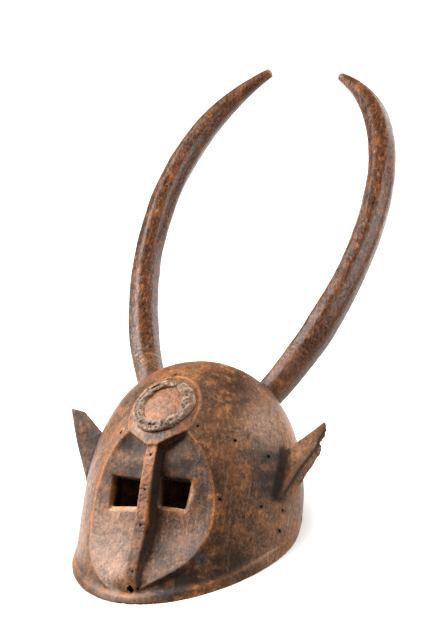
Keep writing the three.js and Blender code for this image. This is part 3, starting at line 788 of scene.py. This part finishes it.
def paintMasks(body):
    t = marksAndPaintedLight
    points, normals = readPoints(body), readNormals(body)
    near = Neighbours(body)
    fine = near.smooth(standOut(points, normals, near, 6), 2)
    broad = near.smooth(standOut(points, normals, near, 60), 4)
    across, up, out, proud = onFront(points)
    pins = np.array(pinHoles["places"] + pinHoles["barPlaces"] + [pinHoles["slot"]])
    fromPins = nearestPlace(across, up, pins)
    side = np.where(across < 0, -1, 1)
    part = np.abs(across) / np.maximum(np.abs(leafEdge(side, up)), 1)
    below = leafFloor(side, np.clip(part, 0, 1), up) - out
    outside = (~isInside(outerShell, points + outOfFace * t["outside"])) & (normals @ outOfFace > -0.3)

    wearAndEdgeHighlight, overBand = wearAndEdgeHighlightMask(points, normals, fine, across, up, below, proud)
    bevel, deepShade = eyeMasks(across, up, below)
    creaseDirtAndShade = creaseDirtAndShadeMask(points, fine, broad, across, up, below, proud, fromPins)
    hornShare, walk = nearHorns(points)
    masks = dict(wearAndEdgeHighlight=np.clip(wearAndEdgeHighlight * smoothStep(fromPins, *t["aroundPin"]), 0, 1), bevel=near.smooth(bevel, 1),
                 creaseDirtAndShade=np.maximum(creaseDirtAndShade, deepShade * t["eyeDeepShade"]), horn=hornShare)
    for name, places in stainsRubbingAndPaintedLight.items():
        share = sum(strength * np.exp(-((across - a)**2 + (up - u)**2) / radius**2)
                    for a, u, radius, strength in places)
        masks[name] = np.clip(share * outside, 0, 1)
    # The rim band's face is made darker below its top edge, at the front and left, not at the right.
    bandDarker = t["bandDarkerShare"] * fadeOut(overBand, *t["bandDarker"]) * fadeOut(points[:, 0], *t["bandDarkerEnd"])
    masks["stainAndShade"] = np.maximum(masks["stainAndShade"], bandDarker)
    (middleAcross, middleUp), (wide, tall) = t["plateMiddle"], t["plateOval"]
    ringPlace = np.hypot((across - middleAcross) / wide, (up - middleUp) / tall)
    masks["plate"] = fadeOut(ringPlace, *t["plateInside"]) * (proud > -4) * outside
    left, right = barSpan(up)
    bar = (across > left - t["barRim"]) & (across < right + t["barRim"]) & (proud > -t["barDepth"])
    bar = bar & (up < plate["tipUp"] + 6) & (up > 0)
    low, more = t["barWear"]
    masks["bar"] = near.smooth(bar * (low + more * smoothStep(up, *t["barWearFade"])), 1)
    inner = isInside(innerShell, points + normals * t["insideDepth"])
    masks["inside"] = near.smooth(inner.astype(float), 2)

    grain = np.column_stack([points[:, 0], points @ outOfFace, points @ upSlope])
    onHorn = np.column_stack([points[:, 0], points[:, 1] * 0.5 - points[:, 2] * 0.87, walk])
    masks["grain"] = grain + (onHorn - grain) * hornShare[:, None]
    for name, values in masks.items():
        addAttribute(body, name, values)


def linear(hexColour):
    parts = [int(hexColour[i:i + 2], 16) / 255 for i in (1, 3, 5)]
    return (*(c / 12.92 if c <= 0.04045 else ((c + 0.055) / 1.055)**2.4 for c in parts), 1)


def addNode(tree, kind, inputs=None, output=0, **settings):  # a value is a link where it is a socket
    node = tree.nodes.new("ShaderNode" + kind)
    for name, value in settings.items():
        setattr(node, name, value)
    for name, value in (inputs or {}).items():
        if isinstance(value, bpy.types.NodeSocket):
            tree.links.new(value, node.inputs[name])
        else:
            node.inputs[name].default_value = value
    return node.outputs[output] if node.outputs else None


def newMaterial(name):
    material = bpy.data.materials.new(name)
    material.use_nodes = True
    material.node_tree.nodes.clear()
    return material, material.node_tree


patinatedWood = dict(
    # The near-black and dirt colours paint shade as well as grime; the rubbed and pale colours paint highlights as
    # well as lighter wood.
    base="#734a2f", dark="#332013", worn="#a5642f", rubbedAndHighlight="#ac8062", paleWoodAndHighlight="#cda68a", ochre="#a4713a",
    blackGrimeAndShade="#120c07", dirtAndShade="#2a1a0f", horn="#54301d", hornDark="#28160b", blue="#4d545c", dust="#8f7a68",
    blotch=42, patch=15, mottle=5, grit=1.8, fibreWidth=1.4, fibreLength=20,     # mm
    hairWidth=1.1, hairLength=9,     # real scratches are about 0.3 mm wide and wouldn't show
    hairTurns=(-42, 20, 70),     # degrees from the grain
    ringWidth=5.5, ringMiddle=(-70, 0, -150), ringWander=30, ringWave=60, ringSlant=0.12,
    roughness=(0.25, 0.5), duller=(("horn", -0.12), ("inside", 0.3), ("creaseDirtAndShade", 0.45), ("stainAndShade", 0.1)),
    specular=0.21, bumpDepth=0.0009,
)


# Dense brown hardwood under an old hand-rubbed patina: soft sheen, dark where dirt has gathered and where shade is
# painted, orange-brown where hands and cloth have worn the edges, lighter where highlights are painted.
def woodMaterial():
    w = patinatedWood
    material, tree = newMaterial("hand-rubbed patinated hardwood")
    mask = {name: addNode(tree, "Attribute", output="Fac", attribute_name=name) for name in (
        "wearAndEdgeHighlight", "creaseDirtAndShade", "horn", "stainAndShade", "rubbedAndHighlight", "blue", "plate", "bar", "bevel", "inside")}
    grain = addNode(tree, "Attribute", output="Vector", attribute_name="grain")
    blotch, patch, mottle, grit, wave = (
        addNode(tree, "TexNoise", {"Vector": grain, "Scale": 1 / w[size], "Detail": detail, "Roughness": rough})
        for size, detail, rough in (
            ("blotch", 4, 0.6), ("patch", 4, 0.7), ("mottle", 4, 0.75), ("grit", 2, 0.6), ("ringWave", 3, 0.6)))

    def strokes(width, length, turnDeg, detail):  # lines along the grain, or turned from it
        turned = addNode(tree, "Mapping", {"Vector": grain, "Rotation": (0, math.radians(turnDeg), 0)})
        drawn = addNode(tree, "Mapping", {"Vector": turned, "Scale": (1, 1, width / length)})
        return addNode(tree, "TexNoise", {
            "Vector": drawn, "Scale": 1 / (width * 2), "Detail": detail, "Roughness": 0.6})

    def inPatches(share, layer, low, high, least=0.0):  # a share that shows only where a noise is strong
        shown = addNode(tree, "MapRange", {0: layer, 1: low, 2: high, 3: least})
        return addNode(tree, "Math", {0: share, 1: shown}, operation="MULTIPLY")

    def paint(colour, layers):  # each paint shows where its layer runs from low to high
        for layer, low, high, strength, other in layers:
            amount = addNode(tree, "MapRange", {0: layer, 1: low, 2: high, 4: strength})
            colour = addNode(tree, "Mix", {0: amount, 6: colour, 7: linear(w[other])}, 2, data_type="RGBA")
        return colour

    fibre = strokes(w["fibreWidth"], w["fibreLength"], 0, 5.0)
    hairs = [strokes(w["hairWidth"], w["hairLength"], turn, 1.0) for turn in w["hairTurns"]]

    # Growth rings: dark lines round an axis that lies behind the face.
    away = addNode(tree, "VectorMath", {0: grain, 1: w["ringMiddle"]}, operation="SUBTRACT")
    away = addNode(tree, "VectorMath", {0: away, 1: (1, 1, w["ringSlant"])}, operation="MULTIPLY")
    away = addNode(tree, "VectorMath", {0: away}, "Value", operation="LENGTH")
    away = addNode(tree, "Math", {0: wave, 1: w["ringWander"], 2: away}, operation="MULTIPLY_ADD")
    turns = addNode(tree, "Math", {0: away, 1: w["ringWidth"] / (2 * math.pi)}, operation="DIVIDE")
    rings = addNode(tree, "MapRange", {0: addNode(tree, "Math", {0: turns}, operation="SINE"), 1: 0.2, 2: 1.0})
    rings = inPatches(rings, blotch, 0.42, 0.62)

    hornColour = paint(linear(w["horn"]), [
        (fibre, 0.38, 0.62, 1, "hornDark"), (patch, 0.52, 0.66, 0.4, "worn"), (mottle, 0.52, 0.68, 0.4, "dark")])
    colour = paint(linear(w["dark"]), [
        (blotch, 0.35, 0.6, 1, "base"),
        (patch, 0.53, 0.63, 0.6, "worn"), (patch, 0.48, 0.36, 0.7, "dark"), (rings, 0.2, 1, 0.4, "dark"),
        # rubbed: lighter worn wood, partly a painted highlight
        (inPatches(mask["rubbedAndHighlight"], mottle, 0.3, 0.6), 0, 1, 1, "rubbedAndHighlight"),
        (mottle, 0.54, 0.66, 0.25, "worn"), (mottle, 0.46, 0.34, 0.4, "dark"),
        (grit, 0.56, 0.72, 0.15, "dust"), (grit, 0.44, 0.3, 0.3, "dark"),
        (fibre, 0.55, 0.7, 0.4, "dark"), (fibre, 0.44, 0.3, 0.25, "paleWoodAndHighlight")])
    colour = addNode(tree, "Mix", {0: mask["horn"], 6: colour, 7: hornColour}, 2, data_type="RGBA")
    colour = paint(colour, [
        (inPatches(mask["plate"], mottle, 0.62, 0.42), 0, 1, 0.6, "worn"),
        (inPatches(mask["bar"], mottle, 0.66, 0.46), 0, 1, 0.9, "worn"),
        (inPatches(mask["bar"], mottle, 0.56, 0.66), 0, 1, 0.8, "dark")])
    for hair in hairs:
        colour = paint(colour, [(hair, 0.6, 0.76, 0.16, "paleWoodAndHighlight"), (hair, 0.42, 0.3, 0.4, "dark")])
    colour = paint(colour, [
        # worn edges, with a painted highlight along the rim band's top edge
        (inPatches(mask["wearAndEdgeHighlight"], mottle, 0.7, 0.45), 0.1, 0.7, 0.85, "worn"),
        (inPatches(mask["wearAndEdgeHighlight"], grit, 0.4, 0.6), 0.45, 1, 0.7, "paleWoodAndHighlight"),
        # eye sills and jambs: ochre chipped wood, and pale as a painted highlight
        (inPatches(mask["bevel"], mottle, 0.66, 0.5), 0, 0.5, 0.85, "ochre"),
        (inPatches(mask["bevel"], grit, 0.35, 0.5), 0.6, 0.9, 0.65, "paleWoodAndHighlight"),
        # dark patches: real stains and painted shade
        (inPatches(mask["stainAndShade"], patch, 0.66, 0.45, 0.35), 0, 1, 1, "dirtAndShade"),
        # near-black: painted shade in creases, holes and recesses, partly real grime
        (mask["creaseDirtAndShade"], 0, 1, 1, "blackGrimeAndShade"),
        (inPatches(mask["blue"], mottle, 0.4, 0.6), 0, 1, 1, "blue")])

    smoothest, roughest = w["roughness"]
    rough = addNode(tree, "MapRange", {0: grit, 1: 0.35, 2: 0.65, 3: smoothest, 4: roughest})
    for name, share in w["duller"]:
        rough = addNode(tree, "Math", {0: mask[name], 1: share, 2: rough}, operation="MULTIPLY_ADD")
    height = 0.0
    for layer, share in (
            (fibre, 0.5), (grit, 0.15), (mottle, 0.6), (patch, 1.2), (hairs[0], 0.3), (hairs[1], 0.3)):
        height = addNode(tree, "Math", {0: layer, 1: share, 2: height}, operation="MULTIPLY_ADD")
    bump = addNode(tree, "Bump", {"Strength": 0.6, "Distance": w["bumpDepth"], "Height": height})
    shader = addNode(tree, "BsdfPrincipled", {
        "Base Color": colour, "Roughness": rough, "IOR": 1.5, "Specular IOR Level": w["specular"], "Normal": bump})
    addNode(tree, "OutputMaterial", {"Surface": shader})
    return material


resinRing = dict(
    across=32.5, along=27, middle=(-0.5, 212.5), width=15, height=5.5, crown=0.6,
    lumps=[(0.1, 3, 0.6), (0.07, 7, 2)], heavySide=(0.16, 4.3),     # share, how many round, start
    strandSize=3.6, strands=1.4, stretch=9, crumbSize=2.4, groove=2.2, grooveAt=(0.15, 0.16),
    turns=460, profile=36, sunk=0.4,
)


def resinSolid():
    r = resinRing
    turn = circle(r["turns"])
    turnGrid, aroundGrid = np.meshgrid(turn, circle(r["profile"]), indexing="ij")
    lump = 1 + sum(share * np.sin(count * turn + start) for share, count, start in r["lumps"])
    heavy, heavyAt = r["heavySide"]
    lump = (lump + heavy * np.cos(turn - heavyAt))[:, None]
    spreadOut = r["width"] / 2 * lump * np.cos(aroundGrid)
    across = r["middle"][0] + np.cos(turnGrid) * (r["across"] + spreadOut)
    up = r["middle"][1] + np.sin(turnGrid) * (r["along"] + 0.8 * spreadOut)
    flat = np.stack([across, up, 0 * across], -1)
    rise = np.sin(aroundGrid)
    drawn = [r["stretch"] * np.cos(turnGrid), r["stretch"] * np.sin(turnGrid), spreadOut]     # round the ring
    ropy = 0.6 - np.abs(noiseAt(np.stack(drawn, -1), r["strandSize"], 31)) * 2.6
    crumbs = 0.4 - np.abs(noiseAt(flat, r["crumbSize"], 32)) * 1.6
    onLeft = smoothStep(-np.cos(turnGrid), 0.2, 0.7)
    grooveAt, grooveWidth = r["grooveAt"]
    groove = r["groove"] * onLeft * np.exp(-((np.cos(aroundGrid) - grooveAt) / grooveWidth)**2)     # between strands
    top = r["height"] * lump * np.clip(rise, 0, 1)**r["crown"]
    top = top + np.clip(rise * 3, 0, 1) * (r["strands"] * ropy + crumbs - groove)
    lift = np.where(rise > 0, np.maximum(top, 0.1), -0.4)
    points = facePoint(across, up, surfaceOut(across, up) + plate["proud"] + lift - r["sunk"])
    places = np.arange(r["turns"] * r["profile"]).reshape(r["turns"], r["profile"])
    right, above = np.roll(places, -1, 0), np.roll(places, -1, 1)
    faces = np.stack([places, right, np.roll(right, -1, 1), above], -1).reshape(-1, 4)
    return meshOf("dried_resin_ring", points.reshape(-1, 3), faces.tolist())


driedResin = dict(
    dust="#9e7e64", body="#644733", ochre="#935f2c", deepShade="#1d130b", grit=1.2, patch=9,     # mm
    roughness=(0.45, 0.75), bumpDepth=0.0008,
)


# Dried plant resin, pressed on by hand: dusty, ochre and duller in patches, with painted shade darkening its folds.
def resinMaterial():
    d = driedResin
    material, tree = newMaterial("hand-pressed dried plant resin")
    place = addNode(tree, "TexCoord", output="Object")
    crest = addNode(tree, "Attribute", output="Fac", attribute_name="crest")
    patch, grit = (addNode(tree, "TexNoise", {"Vector": place, "Scale": 1000 / d[size], "Detail": detail})
                   for size, detail in (("patch", 4), ("grit", 3)))
    colour = linear(d["body"])
    for low, high, strength, other in ((0.42, 0.6, 1, "dust"), (0.45, 0.3, 0.7, "ochre")):
        amount = addNode(tree, "MapRange", {0: patch, 1: low, 2: high, 4: strength})
        colour = addNode(tree, "Mix", {0: amount, 6: colour, 7: linear(d[other])}, 2, data_type="RGBA")
    # painted shade in the folds
    colour = addNode(tree, "Mix", {0: crest, 6: linear(d["deepShade"]), 7: colour}, 2, data_type="RGBA")
    smoothest, roughest = d["roughness"]
    rough = addNode(tree, "MapRange", {0: patch, 1: 0.35, 2: 0.65, 3: smoothest, 4: roughest})
    bump = addNode(tree, "Bump", {"Strength": 0.6, "Distance": d["bumpDepth"], "Height": grit})
    shader = addNode(tree, "BsdfPrincipled", {
        "Base Color": colour, "Roughness": rough, "IOR": 1.5, "Normal": bump})
    addNode(tree, "OutputMaterial", {"Surface": shader})
    return material


# White studio paper, matt, with a painted glow: none near the mask, rising to full white a little way out.
def floorMaterial():
    material, tree = newMaterial("white studio paper")
    place = addNode(tree, "TexCoord", output="Object")
    away = addNode(tree, "VectorMath", {0: place, 1: studio["glowMiddle"]}, "Value", operation="DISTANCE")
    glow = addNode(tree, "MapRange", {0: away, 1: studio["glowFrom"], 2: studio["glowTo"], 4: studio["glow"]})
    shader = addNode(tree, "BsdfPrincipled", {
        "Base Color": linear(studio["floor"]), "Roughness": 0.9, "Specular IOR Level": 0.2,
        "Emission Color": (1, 1, 1, 1), "Emission Strength": glow})
    addNode(tree, "OutputMaterial", {"Surface": shader})
    return material


def finish(body, material, sharpDeg):
    body.data.materials.clear()
    body.data.materials.append(material)
    body.data.polygons.foreach_set("use_smooth", [True] * len(body.data.polygons))
    body.data.set_sharp_from_angle(angle=math.radians(sharpDeg))
    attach(body, "root")


wood = carvedMask()
paintMasks(wood)
finish(wood, woodMaterial(), 70)
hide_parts("carved_mask")
print("wood done", len(wood.data.polygons))

resin = resinSolid()
resinPoints, resinNormals = readPoints(resin), readNormals(resin)
resinCrest = standOut(resinPoints, resinNormals, Neighbours(resin), 12)
# crest falls in the folds, where the painted shade goes
addAttribute(resin, "crest", np.clip(0.65 + resinCrest / 0.7, 0, 1))
finish(resin, resinMaterial(), 80)
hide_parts("forehead_resin_ring")
print("resin done")

studio = dict(
    key=dict(azimuth=-72, elevation=46, distance=1.7, size=1.5, power=94),
    side=dict(azimuth=106, elevation=34, distance=1.8, size=1.2, power=38),
    back=dict(azimuth=160, elevation=14, distance=1.8, size=1.2, power=16),
    aim=(0, -0.03, 0.18), world=0.13, floor="#c4c3c0", floorSize=40, glowMiddle=(0, -0.19, 0), glowFrom=0.12,
    glowTo=0.175, glow=1.0,
)


def wayTo(azimuth, elevation):  # degrees from the front, and above the floor
    a, e = math.radians(azimuth), math.radians(elevation)
    return Vector((math.sin(a) * math.cos(e), -math.cos(a) * math.cos(e), math.sin(e)))


def addLight(name, azimuth, elevation, distance, size, power):
    light = bpy.data.lights.new(name, "AREA")
    light.shape, light.size, light.energy = "SQUARE", size, power     # m, watts
    lamp = addObject(name, light)
    way = wayTo(azimuth, elevation)
    lamp.location = Vector(studio["aim"]) + way * distance
    lamp.rotation_euler = way.to_track_quat("Z", "Y").to_euler()


for name in ("key", "side", "back"):
    addLight(name, **studio[name])

world = bpy.data.worlds.new("studio")
world.use_nodes = True
background = world.node_tree.nodes["Background"]
background.inputs["Color"].default_value = (1, 1, 1, 1)
background.inputs["Strength"].default_value = studio["world"]
bpy.context.scene.world = world

half = studio["floorSize"] / 2
floorMesh = bpy.data.meshes.new("floor")
floorMesh.from_pydata([(-half, -half, 0), (half, -half, 0), (half, half, 0), (-half, half, 0)], [], [(0, 1, 2, 3)])
floor = addObject("floor", floorMesh)
floorMesh.materials.append(floorMaterial())
floor.visible_diffuse = False     # its glow whitens the paper, shows in the gloss, but doesn't light the mask

shot = dict(azimuth=31, elevation=20, roll=12.5, distance=2300, aim=(24.3, 108.6, 221.2), lens=112.5)


def addCamera():
    back, roll = wayTo(shot["azimuth"], shot["elevation"]), math.radians(shot["roll"])
    right = Vector((-back.y, back.x, 0)).normalized()
    up = back.cross(right)
    camera = addObject("camera", bpy.data.cameras.new("camera"))
    turned = right * math.cos(roll) - up * math.sin(roll)
    upright = right * math.sin(roll) + up * math.cos(roll)
    place = Vector(toRow(np.array(shot["aim"]) + shot["distance"] * np.array(back)))
    camera.matrix_world = Matrix.Translation(place) @ Matrix((turned, upright, back)).transposed().to_4x4()
    camera.data.lens, camera.data.sensor_width = shot["lens"], 36
    camera.data.clip_start, camera.data.clip_end = 0.05, 100
    bpy.context.scene.camera = camera


addCamera()
bpy.context.scene.view_settings.view_transform = "Standard"
